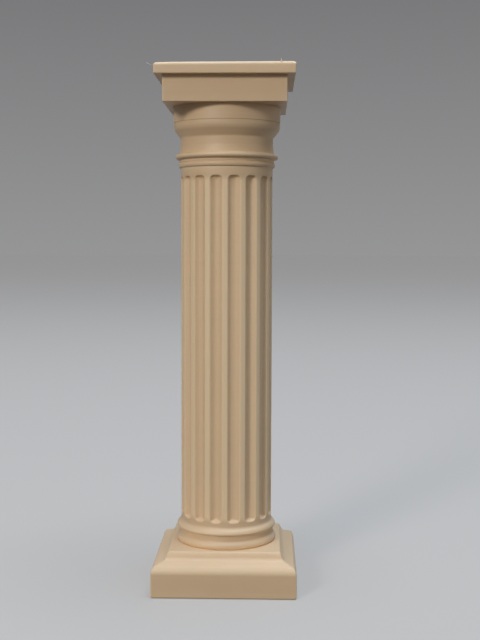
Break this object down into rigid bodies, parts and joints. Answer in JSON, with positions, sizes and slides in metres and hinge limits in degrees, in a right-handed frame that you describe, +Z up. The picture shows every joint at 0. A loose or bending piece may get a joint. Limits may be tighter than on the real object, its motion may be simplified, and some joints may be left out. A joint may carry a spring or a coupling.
{
  "type": "pedestal column",
  "caption": "Small fluted column with a moulded square plinth, ringed neck and square block cap, made to stand by its own weight as a model or display pedestal.",
  "frame": {"origin": "centre of the underside of the square plinth, on the surface the column stands on", "axes": "+Z up along the column; +X and +Y square to the sides of the plinth, with the front towards -Y"},
  "size_m": [0.055, 0.055, 0.1996],
  "materials": {
    "column_body": "tan printed plastic with very fine level layers and a soft sheen",
    "abacus_cap": "tan printed plastic with very fine level layers and a soft sheen"
  },
  "bodies": {
    "root": {"column_body": "column_body", "abacus_cap": "abacus_cap"}
  },
  "joints": []
}
